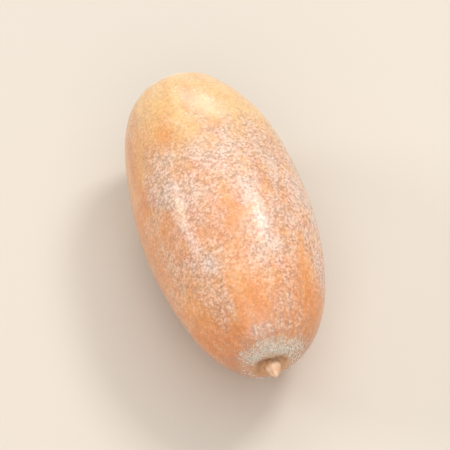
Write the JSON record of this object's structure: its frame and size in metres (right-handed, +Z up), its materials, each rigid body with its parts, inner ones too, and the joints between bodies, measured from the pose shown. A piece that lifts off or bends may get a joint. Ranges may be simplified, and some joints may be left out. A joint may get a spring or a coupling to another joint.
{
  "type": "acorn",
  "caption": "Long oak acorn out of its cup, lying on its side on a small flat, with a hard point at its tip and a round cup scar at its base.",
  "frame": {"origin": "midway between the two ends and the two sides, on the surface that the acorn lies on", "axes": "+Z up, the acorn's length along Y with its tip towards -Y, +X across it"},
  "size_m": [0.0164, 0.0332, 0.0163],
  "materials": {
    "nut_shell": "satin caramel-orange nutshell with a whitish bloom, paler and smoother towards the base, cream cup scar"
  },
  "bodies": {
    "root": {"acorn": "nut_shell"}
  },
  "joints": []
}
